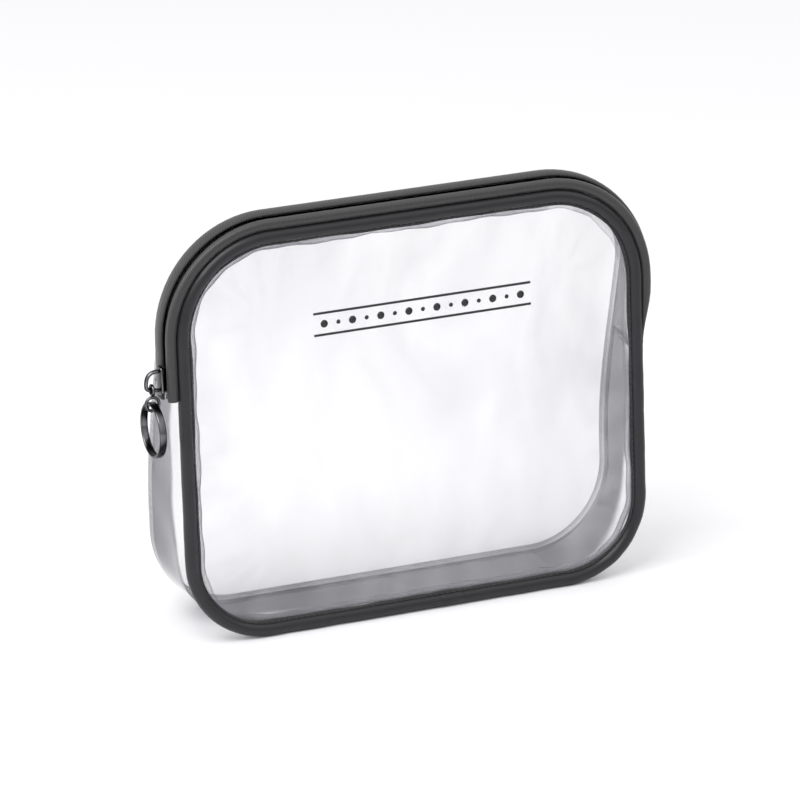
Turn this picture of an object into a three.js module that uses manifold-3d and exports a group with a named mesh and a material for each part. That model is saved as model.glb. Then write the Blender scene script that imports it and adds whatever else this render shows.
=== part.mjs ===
// A clear zip pouch for make-up that stands on its own base: a transparent front panel with black piping,
// a zip that runs over the top from one side to the other, a transparent gusset and a transparent back.
// Millimetres, +Z up, X across the front, the front faces -Y.
import * as THREE from 'three';
import Module from 'manifold-3d';
import { mergeVertices } from 'three/addons/utils/BufferGeometryUtils.js';

const wasm = await Module();
wasm.setup();

// The front seam line: a rounded rectangle that the piping follows.
const WIDTH = 200;
const HEIGHT = 165;
const TOP_RADIUS = 39;
const BASE_RADIUS = 33;
const PIPING_RADIUS = 2.8;
const SEAM_BOTTOM = PIPING_RADIUS;
const SEAM_TOP = SEAM_BOTTOM + HEIGHT;

// The front leans back, and the pouch narrows from its base to its zip.
const LEAN = 13;
const BASE_DEPTH = 40;
const TOP_DEPTH = 14;
const NARROWS_FROM = 45;

// Zip and fold: below the zip's ends the sides are plain gusset, and the front folds forward at FOLD.
const LEFT_ZIP_END = 105;
const RIGHT_ZIP_END = 98;
const FOLD = 96;
const GAP = 0.3;
const SHEET = 0.8;
const SEAM_EDGE = 2.7;
const BEHIND_SEAM = 0.9;
const BEHIND_ZIP = 11.5;
const WELD = 1.7;
const LAP_START = 10;
const LAP_END = 17;

// Slider: where it is parked along the left side, and the size of its pieces.
const SLIDER_HEIGHT = 114;
const SLIT_DEPTH = 2.6;
const PLATE_INNER = 8.6;
const PLATE_OUTER = 9.7;
const CROWN_RISE = 6.2;
const CROWN_WIRE = 0.8;
const CROWN_HALF = 3.6;
const LINK_OFFSET = 12.9;
const EYE_RADIUS = 2.8;
const EYE_WIRE = 0.65;
const EYE_PLAY = 0.55;
const RING_RADIUS = 11.5;
const RING_BAND = 1.2;
const RING_WIDTH = 3;

const CORNER_STEPS = 9;
const SIDE_STEPS = 7;
const TOP_STEPS = 4;

const material = (color, roughness, metalness, opacity = 1) =>
  new THREE.MeshStandardMaterial({ color, roughness, metalness, opacity, transparent: opacity < 1 });
const CLEAR = material(0xe6e8ec, 0.08, 0, 0.35);
const BLACK = material(0x26252a, 0.45, 0);
const TAPE = material(0x38373a, 0.75, 0);
const COIL = material(0x1c1b1e, 0.5, 0);
const GUNMETAL = material(0x3a3a3e, 0.25, 1);

const pouch = new THREE.Group();

function addMesh(name, geometry, look, parent = pouch) {
  const mesh = new THREE.Mesh(geometry, look);
  mesh.name = name;
  parent.add(mesh);
}

// Height to depth: where the front plane is, and how far behind it the back panel is.
const frontY = (z) => LEAN * (z - SEAM_BOTTOM) / HEIGHT;

function depthAt(z) {
  const t = THREE.MathUtils.clamp((z - NARROWS_FROM) / (SEAM_TOP - NARROWS_FROM), 0, 1);
  return BASE_DEPTH - (BASE_DEPTH - TOP_DEPTH) * t * t * (3 - 2 * t);
}

// Stations along the seam line: a place and the outward direction there.
function straight(x0, z0, x1, z1, steps, outX, outZ) {
  const stations = [];
  for (let i = 0; i <= steps; i++) {
    const t = i / steps;
    stations.push({ x: x0 + (x1 - x0) * t, z: z0 + (z1 - z0) * t, outX, outZ });
  }
  return stations;
}

function corner(cx, cz, radius, startDegrees, endDegrees) {
  const stations = [];
  for (let i = 1; i < CORNER_STEPS; i++) {
    const angle = THREE.MathUtils.degToRad(startDegrees + (endDegrees - startDegrees) * i / CORNER_STEPS);
    const outX = Math.cos(angle);
    const outZ = Math.sin(angle);
    stations.push({ x: cx + radius * outX, z: cz + radius * outZ, outX, outZ });
  }
  return stations;
}

// From a height on the right side, down round the base, to a height on the left side.
function lowerPath(rightHeight, leftHeight = rightHeight) {
  const half = WIDTH / 2;
  const bend = SEAM_BOTTOM + BASE_RADIUS;
  const flat = half - BASE_RADIUS;
  return [
    ...straight(half, rightHeight, half, bend, SIDE_STEPS, 1, 0),
    ...corner(flat, bend, BASE_RADIUS, 0, -90),
    ...straight(flat, SEAM_BOTTOM, -flat, SEAM_BOTTOM, TOP_STEPS, 0, -1),
    ...corner(-flat, bend, BASE_RADIUS, -90, -180),
    ...straight(-half, bend, -half, leftHeight, SIDE_STEPS, -1, 0),
  ];
}

// From a height on the left side, over the top, to a height on the right side.
function upperPath(leftHeight, rightHeight = leftHeight) {
  const half = WIDTH / 2;
  const bend = SEAM_TOP - TOP_RADIUS;
  const flat = half - TOP_RADIUS;
  return [
    ...straight(-half, leftHeight, -half, bend, SIDE_STEPS, -1, 0),
    ...corner(-flat, bend, TOP_RADIUS, 180, 90),
    ...straight(-flat, SEAM_TOP, flat, SEAM_TOP, TOP_STEPS, 0, 1),
    ...corner(flat, bend, TOP_RADIUS, 90, 0),
    ...straight(half, bend, half, rightHeight, SIDE_STEPS, 1, 0),
  ];
}

// A solid through a row of equal rings of points, with flat ends or joined end to start.
function skin(rings, joined, section) {
  const count = rings[0].length;
  const triangles = [];
  const spans = joined ? rings.length : rings.length - 1;
  for (let i = 0; i < spans; i++) {
    const next = (i + 1) % rings.length;
    for (let j = 0; j < count; j++) {
      const k = (j + 1) % count;
      triangles.push(i * count + j, next * count + j, next * count + k);
      triangles.push(i * count + j, next * count + k, i * count + k);
    }
  }
  if (!joined) {
    const last = (rings.length - 1) * count;
    for (const [a, b, c] of THREE.ShapeUtils.triangulateShape(section, [])) {
      triangles.push(a, b, c);
      triangles.push(last + a, last + c, last + b);
    }
  }
  const geometry = new THREE.BufferGeometry().setFromPoints(rings.flat());
  geometry.setIndex(triangles);
  return facingOut(geometry);
}

function facingOut(geometry) {
  const index = geometry.index.array;
  const point = (i) => new THREE.Vector3().fromBufferAttribute(geometry.attributes.position, i);
  let volume = 0;
  for (let i = 0; i < index.length; i += 3) {
    volume += point(index[i]).dot(point(index[i + 1]).cross(point(index[i + 2])));
  }
  if (volume < 0) {
    for (let i = 0; i < index.length; i += 3) {
      [index[i], index[i + 1]] = [index[i + 1], index[i]];
    }
  }
  geometry.computeVertexNormals();
  return geometry;
}

// A section swept along the seam line. Its points are [outward, behind the front plane].
function sweep(path, sectionAt, joined = false) {
  const rings = path.map((station) => sectionAt(station).map(([out, behind]) => new THREE.Vector3(
    station.x + station.outX * out,
    frontY(station.z + station.outZ * out) + behind,
    station.z + station.outZ * out,
  )));
  const section = sectionAt(path[0]).map(([out, behind]) => new THREE.Vector2(out, behind));
  if (THREE.ShapeUtils.isClockWise(section)) {
    section.reverse();
    rings.forEach((ring) => ring.reverse());
  }
  return skin(rings, joined, section);
}

// The whole seam line, without the two stations at which its halves meet a second time.
const closedPath = () => [...lowerPath(FOLD), ...upperPath(FOLD).slice(1, -1)];

const box = (out0, out1, behind0, behind1) =>
  [[out0, behind0], [out1, behind0], [out1, behind1], [out0, behind1]];

function oval(out, behind, radiusOut, radiusBehind, sides) {
  const points = [];
  for (let i = 0; i < sides; i++) {
    const angle = 2 * Math.PI * i / sides;
    points.push([out + radiusOut * Math.cos(angle), behind + radiusBehind * Math.sin(angle)]);
  }
  return points;
}

// Half width of the seam line's inside at height z, kept inset from it.
function halfWidth(z, inset) {
  const half = WIDTH / 2;
  const fromBase = SEAM_BOTTOM + BASE_RADIUS - z;
  const fromTop = z - (SEAM_TOP - TOP_RADIUS);
  if (fromBase > 0) {
    return half - BASE_RADIUS + Math.sqrt(Math.max(0, (BASE_RADIUS - inset) ** 2 - fromBase ** 2));
  }
  if (fromTop > 0) {
    return half - TOP_RADIUS + Math.sqrt(Math.max(0, (TOP_RADIUS - inset) ** 2 - fromTop ** 2));
  }
  return half - inset;
}

// Heights from low to high that follow the round corners of a panel.
function panelHeights(low, high, inset) {
  const heights = [];
  const baseBend = SEAM_BOTTOM + BASE_RADIUS;
  const topBend = SEAM_TOP - TOP_RADIUS;
  for (let i = 0; i < CORNER_STEPS; i++) {
    heights.push(baseBend - (BASE_RADIUS - inset) * Math.cos(Math.PI / 2 * i / CORNER_STEPS));
  }
  for (let i = 0; i <= SIDE_STEPS * 2; i++) {
    heights.push(baseBend + (topBend - baseBend) * i / (SIDE_STEPS * 2));
  }
  for (let i = 1; i <= CORNER_STEPS; i++) {
    heights.push(topBend + (TOP_RADIUS - inset) * Math.sin(Math.PI / 2 * i / CORNER_STEPS));
  }
  return [low, ...heights.filter((z) => z > low + 1 && z < high - 1), high];
}

// A flat or bent sheet inside the seam line, between two heights.
function panel(low, high, inset, yAt) {
  const rings = panelHeights(low, high, inset).map((z) => {
    const half = halfWidth(z, inset);
    const front = yAt(z) - SHEET / 2;
    const back = yAt(z) + SHEET / 2;
    return [[-half, front], [half, front], [half, back], [-half, back]]
      .map(([x, y]) => new THREE.Vector3(x, y, z));
  });
  return skin(rings, false, rings[0].map((point) => new THREE.Vector2(point.x, point.y)));
}

// Transparent front sheet, in the two stretches that the fold divides, and the edge turned in behind it.
function makeFrontPanel() {
  const inset = PIPING_RADIUS + GAP;
  const halfGap = GAP / 2;
  addMesh('front_panel_lower', panel(SEAM_BOTTOM + inset, FOLD - halfGap, inset, frontY), CLEAR);
  addMesh('front_panel_upper', panel(FOLD + halfGap, SEAM_TOP - inset, inset, frontY), CLEAR);
  const strip = () => box(-inset - SEAM_EDGE, -inset, BEHIND_SEAM, BEHIND_SEAM + SHEET);
  addMesh('front_seam_edge_lower', sweep(lowerPath(FOLD - halfGap), strip), CLEAR);
  addMesh('front_seam_edge_upper', sweep(upperPath(FOLD + halfGap), strip), CLEAR);
}

// Black piping roll sewn round the front seam; its two ends meet under a short lap at the base.
function makePiping() {
  const sides = 12;
  const roll = () => oval(0, 0, PIPING_RADIUS, PIPING_RADIUS, sides);
  addMesh('front_piping_upper', sweep(upperPath(FOLD + GAP / 2), roll), BLACK);
  const half = lowerPath(FOLD - GAP / 2);
  const onBase = (x) => ({ x, z: SEAM_BOTTOM, outX: 0, outZ: -1 });
  const right = [...half.filter((station) => station.x > LAP_END), onBase(LAP_END)];
  const left = [onBase(LAP_START), ...half.filter((station) => station.x < LAP_START)];
  addMesh('front_piping_right', sweep(right, roll), BLACK);
  addMesh('front_piping_left', sweep(left, roll), BLACK);
  const lap = [onBase(LAP_END - GAP), onBase(LAP_START + GAP)];
  addMesh('front_piping_lap', sweep(lap, () => oval(0, 0, PIPING_RADIUS, PIPING_RADIUS + GAP, sides)), BLACK);
}

// Transparent gusset: one strip under the base and up both sides, one narrow strip behind the zip.
function makeGusset() {
  const outer = PIPING_RADIUS;
  const inner = outer - SHEET;
  const front = PIPING_RADIUS + GAP;
  const lower = ({ z }) => box(inner, outer, front, depthAt(z) - WELD);
  const upper = ({ z }) => box(inner, outer, BEHIND_ZIP, depthAt(z) - WELD);
  addMesh('gusset_lower', sweep(lowerPath(RIGHT_ZIP_END - GAP, LEFT_ZIP_END - GAP), lower), CLEAR);
  addMesh('gusset_upper', sweep(upperPath(LEFT_ZIP_END, RIGHT_ZIP_END), upper), CLEAR);
  const tabHeight = 6.7;
  const tab = ({ z }) => box(outer + GAP, outer + GAP + SHEET, front + GAP, depthAt(z) - WELD);
  for (const [name, side, top] of [
    ['gusset_joint_left', -1, LEFT_ZIP_END - GAP], ['gusset_joint_right', 1, RIGHT_ZIP_END - GAP],
  ]) {
    const path = straight(side * WIDTH / 2, top - tabHeight, side * WIDTH / 2, top, 1, side, 0);
    addMesh(name, sweep(path, tab), CLEAR);
  }
}

// Transparent back sheet and the welded rim round it.
function makeBack() {
  const rimInner = 0.6;
  const rimFront = 1.4;
  const rimBack = 0.9;
  const inset = GAP - rimInner;
  const backY = (z) => frontY(z) + depthAt(z);
  addMesh('back_panel', panel(SEAM_BOTTOM + inset, SEAM_TOP - inset, inset, backY), CLEAR);
  const rim = ({ z }) => box(rimInner, PIPING_RADIUS, depthAt(z) - rimFront, depthAt(z) + rimBack);
  addMesh('back_seam_rim', sweep(closedPath(), rim, true), CLEAR);
}

// The zip stands proud of the seam and sinks back to it towards its right end, where no slider holds it up.
function sunkIn(station, points) {
  const tuck = 26;
  const leastRise = 0.35;
  const t = THREE.MathUtils.clamp((station.z - RIGHT_ZIP_END) / tuck, 0, 1);
  const rise = station.x > 0 ? leastRise + (1 - leastRise) * t * t * (3 - 2 * t) : 1;
  const foot = PIPING_RADIUS + GAP;
  return points.map(([out, behind]) => [foot + (out - foot) * rise, behind]);
}

// The zip: a front tape rolled over the piping, a back tape arched over to the gusset, and the coils between.
function makeZip() {
  const tapeOut = 5.1;
  const tapeHalfHeight = 2;
  const tapeHalfDepth = 1.6;
  const coilOut = [4.2, 6];
  const stopOut = [4.2, 7.3];
  const stopLow = 0.5;
  const stopHigh = 2.6;
  const path = (above = 0) => upperPath(LEFT_ZIP_END + above, RIGHT_ZIP_END + above);
  const frontTape = (station) => sunkIn(station, oval(tapeOut, 0, tapeHalfHeight, tapeHalfDepth, 12));
  const backTape = (station) => sunkIn(station, [
    [6.9, 3.6], [7.9, 4.6], [8.5, 6.6], [8.5, 8.6], [7.6, 10.4], [5.8, 11.2], [3.4, 11.2],
    [3.4, 10], [5.4, 10], [6.6, 9.2], [7.1, 8], [7.1, 6.6], [6.4, 5.2], [5.2, 4.6], [5.2, 3.6],
  ]);
  const frontCoil = (station) => sunkIn(station, box(...coilOut, 1.9, 2.5));
  const backCoil = (station) => sunkIn(station, box(...coilOut, 2.8, 3.3));
  const stop = (station) => sunkIn(station, box(...stopOut, 1.9, 3.2));
  addMesh('zip_tape_front', sweep(path(), frontTape), TAPE);
  addMesh('zip_tape_back', sweep(path(), backTape), TAPE);
  addMesh('zip_coil_front', sweep(path(stopHigh + GAP), frontCoil), COIL);
  addMesh('zip_coil_back', sweep(path(stopHigh + GAP), backCoil), COIL);
  const stopPath = (side, end) =>
    straight(side * WIDTH / 2, end + stopLow, side * WIDTH / 2, end + stopHigh, 1, side, 0);
  addMesh('zip_stop_left', sweep(stopPath(-1, LEFT_ZIP_END), stop), COIL);
  addMesh('zip_stop_right', sweep(stopPath(1, RIGHT_ZIP_END), stop), COIL);
}

// Boolean joins for the slider's small castings.
function toManifold(geometry) {
  const bare = geometry.clone();
  bare.deleteAttribute('normal');
  bare.deleteAttribute('uv');
  const merged = mergeVertices(bare, 1e-4);
  return new wasm.Manifold(new wasm.Mesh({
    numProp: 3,
    vertProperties: new Float32Array(merged.attributes.position.array),
    triVerts: new Uint32Array(merged.index.array),
  }));
}

function fused(geometries) {
  const whole = geometries.map(toManifold).reduce((sum, piece) => sum.add(piece));
  const mesh = whole.getMesh();
  const geometry = new THREE.BufferGeometry();
  geometry.setAttribute('position', new THREE.BufferAttribute(new Float32Array(mesh.vertProperties), 3));
  geometry.setIndex(new THREE.BufferAttribute(new Uint32Array(mesh.triVerts), 1));
  geometry.computeVertexNormals();
  return geometry;
}

// The slider's own frame: origin on the seam line, X outward is negative, Z along the zip.
function makeSliderFrame() {
  const frame = new THREE.Group();
  frame.position.set(-WIDTH / 2, frontY(SLIDER_HEIGHT), SLIDER_HEIGHT);
  frame.rotation.x = -Math.atan(LEAN / HEIGHT);
  pouch.add(frame);
  return frame;
}

function block(out0, out1, behind0, behind1, low, high) {
  const geometry = new THREE.BoxGeometry(out1 - out0, behind1 - behind0, high - low);
  return geometry.translate(-(out0 + out1) / 2, (behind0 + behind1) / 2, (low + high) / 2);
}

// Top plate with wide shoulders below and a narrower tail, a guide rib in the slit and a lip in front of it.
function makeSliderBody(frame) {
  const shoulder = 3.2;
  const tail = 2.5;
  const half = 6;
  const outline = new THREE.Shape();
  outline.moveTo(-shoulder + 1, -half);
  outline.lineTo(shoulder - 1, -half);
  outline.quadraticCurveTo(shoulder, -half, shoulder, -half + 1.5);
  outline.lineTo(tail, half - 1.5);
  outline.quadraticCurveTo(tail, half, tail - 1.2, half);
  outline.lineTo(-tail + 1.2, half);
  outline.quadraticCurveTo(-tail, half, -tail, half - 1.5);
  outline.lineTo(-shoulder, -half + 1.5);
  outline.quadraticCurveTo(-shoulder, -half, -shoulder + 1, -half);
  const plate = new THREE.ExtrudeGeometry(outline, {
    depth: PLATE_OUTER - PLATE_INNER, bevelEnabled: false, curveSegments: 4,
  });
  plate.rotateX(Math.PI / 2);
  plate.rotateZ(Math.PI / 2);
  plate.translate(-PLATE_OUTER, SLIT_DEPTH, 0);
  const ribHalf = 0.4;
  const ribDepth = 2.3;
  const lipDepth = 1.2;
  const overlap = PLATE_INNER + GAP;
  const slitFront = SLIT_DEPTH - ribHalf;
  const slitBack = SLIT_DEPTH + ribHalf;
  const rib = block(PLATE_INNER - ribDepth, overlap, slitFront, slitBack, -half + 1.5, half - 1.5);
  const lip = block(PLATE_INNER - lipDepth, overlap, -ribHalf, ribHalf, -half + 2.5, half - 3);
  addMesh('slider_body', fused([plate, rib, lip]), GUNMETAL, frame);
}

function wireThrough(points, radius, steps) {
  const sides = 8;
  const section = new THREE.Shape();
  for (let i = 0; i <= sides; i++) {
    const angle = 2 * Math.PI * i / sides;
    section[i ? 'lineTo' : 'moveTo'](radius * Math.cos(angle), radius * Math.sin(angle));
  }
  const path = new THREE.CatmullRomCurve3(points);
  return new THREE.ExtrudeGeometry(section, { extrudePath: path, steps, bevelEnabled: false });
}

// The crown: a bowed wire that stands off the plate and carries the pull.
function makeSliderCrown(frame) {
  const foot = PLATE_OUTER + GAP;
  const top = PLATE_OUTER + CROWN_RISE - CROWN_WIRE;
  const round = 1.4;
  const at = (out, along) => new THREE.Vector3(-out, SLIT_DEPTH, along);
  const points = [
    at(foot, -CROWN_HALF), at(top - round, -CROWN_HALF), at(top - 0.5, -CROWN_HALF + 0.5),
    at(top, -CROWN_HALF + round), at(top, CROWN_HALF - round), at(top - 0.5, CROWN_HALF - 0.5),
    at(top - round, CROWN_HALF), at(foot, CROWN_HALF),
  ];
  addMesh('slider_crown', wireThrough(points, CROWN_WIRE, 28), GUNMETAL, frame);
}

// The link: a small eye round the crown's lower leg and a larger eye, turned a quarter, that holds the ring.
const smallEye = CROWN_WIRE + EYE_PLAY + EYE_WIRE;
const eyeDrop = CROWN_HALF + smallEye + EYE_RADIUS + 2 * EYE_WIRE - GAP;

function makeLink(frame) {
  const upper = new THREE.TorusGeometry(smallEye, EYE_WIRE, 8, 20).rotateY(Math.PI / 2);
  upper.translate(-LINK_OFFSET, SLIT_DEPTH, -CROWN_HALF);
  const lower = new THREE.TorusGeometry(EYE_RADIUS, EYE_WIRE, 8, 24).rotateX(Math.PI / 2);
  lower.translate(-LINK_OFFSET, SLIT_DEPTH, -eyeDrop);
  addMesh('pull_link', fused([upper, lower]), GUNMETAL, frame);
}

// The pull: a round flat-band ring that hangs beside the pouch, its axis across the pouch.
function makeRing(frame) {
  const inner = RING_RADIUS - RING_BAND;
  const half = RING_WIDTH / 2;
  const ease = 0.3;
  const profile = [
    [inner, -half + ease], [inner + ease, -half], [RING_RADIUS - ease, -half], [RING_RADIUS, -half + ease],
    [RING_RADIUS, half - ease], [RING_RADIUS - ease, half], [inner + ease, half], [inner, half - ease],
    [inner, -half + ease],
  ].map(([radius, along]) => new THREE.Vector2(radius, along));
  const band = new THREE.LatheGeometry(profile, 40).rotateZ(Math.PI / 2);
  band.translate(-LINK_OFFSET, SLIT_DEPTH, -eyeDrop - RING_RADIUS + RING_BAND / 2);
  addMesh('pull_ring', fused([band]), GUNMETAL, frame);
}

makeFrontPanel();
makePiping();
makeGusset();
makeBack();
makeZip();
const sliderFrame = makeSliderFrame();
makeSliderBody(sliderFrame);
makeSliderCrown(sliderFrame);
makeLink(sliderFrame);
makeRing(sliderFrame);

// The origin is the middle of the pouch's footprint, on the surface that it stands on.
pouch.updateMatrixWorld(true);
const extent = new THREE.Box3().setFromObject(pouch);
pouch.position.set(-(extent.min.x + extent.max.x) / 2, -(extent.min.y + extent.max.y) / 2, -extent.min.z);

const model = new THREE.Group();
model.add(pouch);
export default model;
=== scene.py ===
import bmesh
import bpy
import math
from mathutils import Matrix, Vector


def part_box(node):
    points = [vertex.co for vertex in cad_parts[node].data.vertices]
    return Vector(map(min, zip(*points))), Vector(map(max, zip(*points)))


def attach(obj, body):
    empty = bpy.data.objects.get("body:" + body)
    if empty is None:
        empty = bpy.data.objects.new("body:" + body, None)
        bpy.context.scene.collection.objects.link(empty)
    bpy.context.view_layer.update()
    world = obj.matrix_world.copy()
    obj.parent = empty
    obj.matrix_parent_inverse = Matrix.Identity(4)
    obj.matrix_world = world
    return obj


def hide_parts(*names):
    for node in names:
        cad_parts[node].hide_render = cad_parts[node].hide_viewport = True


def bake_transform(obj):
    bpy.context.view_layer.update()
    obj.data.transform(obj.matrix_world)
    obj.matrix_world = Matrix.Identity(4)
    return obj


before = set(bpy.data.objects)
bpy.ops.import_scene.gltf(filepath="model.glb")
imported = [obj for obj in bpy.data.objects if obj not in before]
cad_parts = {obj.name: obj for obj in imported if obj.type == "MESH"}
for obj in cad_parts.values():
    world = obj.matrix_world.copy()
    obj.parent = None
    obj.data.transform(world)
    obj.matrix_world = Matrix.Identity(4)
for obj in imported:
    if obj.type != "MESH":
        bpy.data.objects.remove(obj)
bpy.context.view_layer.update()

# Piping: a black coated roll, sewn into the seam all round the front panel.
# It is bent from one length, and its ends meet at the base under a short lap.
piping_radius = 0.0028
roll_low, roll_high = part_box("front_piping_upper")
side_low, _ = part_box("front_piping_right")
seam_middle = (roll_low[0] + roll_high[0]) / 2
seam_half = (roll_high[0] - roll_low[0]) / 2 - piping_radius
seam_base = side_low[2] + piping_radius
seam_top = roll_high[2] - piping_radius
seam_front = side_low[1] + piping_radius
top_radius = 0.039
base_radius = 0.033
seam_centre_z = (seam_base + seam_top) / 2
lean_run, lean_rise = 0.013, 0.165
lean = lean_run / lean_rise
corner_steps = 20


def front_y(z):
    """Where the front panel is at height z: it leans back as it rises."""
    return seam_front + lean * (z - seam_base)


def seam_legs():
    """The seam line from the middle of the base, anticlockwise, as straight runs and quarter bends.

    A straight leg is (kind, (run in x, run in z), steps, start), a bend is (kind, centre, steps, None).
    """
    flat_base = seam_half - base_radius
    flat_top = seam_half - top_radius
    rise = seam_top - top_radius - seam_base - base_radius
    right = seam_middle + seam_half
    left = seam_middle - seam_half
    return [
        ("straight", (flat_base, 0), 10, (seam_middle, seam_base)),
        ("bend", (right - base_radius, seam_base + base_radius), corner_steps, None),
        ("straight", (0, rise), 24, (right, seam_base + base_radius)),
        ("bend", (right - top_radius, seam_top - top_radius), corner_steps, None),
        ("straight", (-2 * flat_top, 0), 30, (right - top_radius, seam_top)),
        ("bend", (left + top_radius, seam_top - top_radius), corner_steps, None),
        ("straight", (0, -rise), 24, (left, seam_top - top_radius)),
        ("bend", (left + base_radius, seam_base + base_radius), corner_steps, None),
        ("straight", (flat_base, 0), 10, (left + base_radius, seam_base)),
    ]


def seam_length(x, z):
    """How far round the seam line a point lies, from the middle of the base."""
    flat_base = seam_half - base_radius
    flat_top = seam_half - top_radius
    rise = seam_top - top_radius - seam_base - base_radius
    side = x - seam_middle
    out = abs(side)
    half_way = flat_base + base_radius * math.pi / 2 + rise + top_radius * math.pi / 2 + flat_top
    if z < seam_base + base_radius and out > flat_base:
        turn = math.atan2(out - flat_base, seam_base + base_radius - z)
        length = flat_base + base_radius * turn
    elif z > seam_top - top_radius and out > flat_top:
        turn = math.atan2(z - seam_top + top_radius, out - flat_top)
        length = flat_base + base_radius * math.pi / 2 + rise + top_radius * turn
    elif out > flat_base and seam_base + base_radius <= z <= seam_top - top_radius:
        length = flat_base + base_radius * math.pi / 2 + z - seam_base - base_radius
    elif z < seam_centre_z:
        length = min(out, flat_base)
    else:
        length = half_way - min(out, flat_top)
    return length if side >= 0 else 2 * half_way - length


def run_round_seam(section):
    """Draws a closed section of (outward, behind) points round the whole seam line."""
    mesh = bmesh.new()
    ring = [mesh.verts.new((seam_middle, behind, seam_base - out)) for out, behind in section]
    edges = [mesh.edges.new((ring[i], ring[(i + 1) % len(ring)])) for i in range(len(ring))]
    for kind, where, steps, _ in seam_legs():
        if kind == "straight":
            for _ in range(steps):
                made = bmesh.ops.extrude_edge_only(mesh, edges=edges)["geom"]
                verts = [g for g in made if isinstance(g, bmesh.types.BMVert)]
                edges = [g for g in made if isinstance(g, bmesh.types.BMEdge)]
                bmesh.ops.translate(mesh, verts=verts, vec=(where[0] / steps, 0, where[1] / steps))
        else:
            verts = list({v for e in edges for v in e.verts})
            made = bmesh.ops.spin(
                mesh, geom=verts + edges, cent=(where[0], 0, where[1]), axis=(0, -1, 0),
                angle=math.pi / 2, steps=steps, use_merge=False,
            )["geom_last"]
            edges = [g for g in made if isinstance(g, bmesh.types.BMEdge)]
    bmesh.ops.remove_doubles(mesh, verts=mesh.verts, dist=1e-5)
    bmesh.ops.recalc_face_normals(mesh, faces=mesh.faces)
    return mesh


def lay_uv(mesh):
    """UV in metres: along the seam line, and behind the front plane."""
    layer = mesh.loops.layers.uv.new("seam")
    whole = seam_length(seam_middle - 1e-6, seam_base)
    for face in mesh.faces:
        lengths = [seam_length(loop.vert.co.x, loop.vert.co.z) for loop in face.loops]
        wraps = max(lengths) - min(lengths) > whole / 2
        for loop, length in zip(face.loops, lengths):
            if wraps and length < whole / 2:
                length += whole
            loop[layer].uv = (length, loop.vert.co.y - front_y(loop.vert.co.z))


def lean_back(mesh):
    for vert in mesh.verts:
        vert.co.y += front_y(vert.co.z)


def finished(mesh, name, material, body=None):
    """Makes the object, shades it smooth and, where a body is given, rides it on that body."""
    data = bpy.data.meshes.new(name)
    mesh.to_mesh(data)
    mesh.free()
    for polygon in data.polygons:
        polygon.use_smooth = True
    piece = bpy.data.objects.new(name, data)
    bpy.context.scene.collection.objects.link(piece)
    data.materials.append(material)
    if body:
        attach(piece, body)
    return piece


def circle_section(out, behind, radius_out, radius_behind, count):
    turns = [2 * math.pi * i / count for i in range(count)]
    return [(out + radius_out * math.cos(turn), behind + radius_behind * math.sin(turn)) for turn in turns]


def waver(length, *waves):
    """How far a hand-guided edge strays at a length, as a sum of (height, radians per metre, phase)."""
    return sum(height * math.sin(length * rate + phase) for height, rate, phase in waves)


def new_material(name):
    material = bpy.data.materials.new(name)
    material.use_nodes = True
    tree = material.node_tree
    return material, tree.nodes, tree.links, tree.nodes["Principled BSDF"]


def worn_gloss(nodes, links, shader, scale, smoothest, roughest, detail=2):
    """Lets the roughness drift with a noise on the piece, and gives back the noise."""
    place = nodes.new("ShaderNodeTexCoord")
    wear = nodes.new("ShaderNodeTexNoise")
    wear.inputs["Scale"].default_value = scale
    wear.inputs["Detail"].default_value = detail
    links.new(place.outputs["Object"], wear.inputs["Vector"])
    rough = nodes.new("ShaderNodeMapRange")
    rough.inputs["To Min"].default_value = smoothest
    rough.inputs["To Max"].default_value = roughest
    links.new(wear.outputs["Fac"], rough.inputs["Value"])
    links.new(rough.outputs["Result"], shader.inputs["Roughness"])
    return wear


def bump_from(nodes, links, shader, height, strength, distance):
    """Raises the surface by a height output, through a bump node."""
    bump = nodes.new("ShaderNodeBump")
    bump.inputs["Strength"].default_value = strength
    bump.inputs["Distance"].default_value = distance
    links.new(height, bump.inputs["Height"])
    links.new(bump.outputs["Normal"], shader.inputs["Normal"])


def coated_piping():
    material, nodes, links, shader = new_material("coated_piping")
    shader.inputs["Base Color"].default_value = (0.013, 0.012, 0.014, 1)
    shader.inputs["Specular IOR Level"].default_value = 0.42
    place = nodes.new("ShaderNodeTexCoord")
    grain = nodes.new("ShaderNodeTexVoronoi")
    grain.inputs["Scale"].default_value = 1600
    links.new(place.outputs["Object"], grain.inputs["Vector"])
    bump_from(nodes, links, shader, grain.outputs["Distance"], strength=0.25, distance=0.00012)
    worn_gloss(nodes, links, shader, scale=130, smoothest=0.30, roughest=0.44, detail=4)
    return material


piping_material = coated_piping()
roll = run_round_seam(
    circle_section(out=0, behind=0, radius_out=piping_radius, radius_behind=piping_radius, count=20),
)
for vert in roll.verts:
    length = seam_length(vert.co.x, vert.co.z)
    vert.co.y += waver(length, (0.00012, 260, 0), (0.00010, 611, 1.3))
lean_back(roll)
lay_uv(roll)
piping = finished(roll, "piping", piping_material)
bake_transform(piping)
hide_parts("front_piping_upper", "front_piping_left", "front_piping_right")


# Piping flange: the flat tongue of the same coated cloth that runs inward from the roll
# and is sewn down on the clear sheet, with one row of stitches close to the roll.
def towards_middle(vert):
    """The direction in the panel's plane from a point to the middle of the panel."""
    return Vector((seam_middle - vert.co.x, 0, seam_centre_z - vert.co.z)).normalized()


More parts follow.
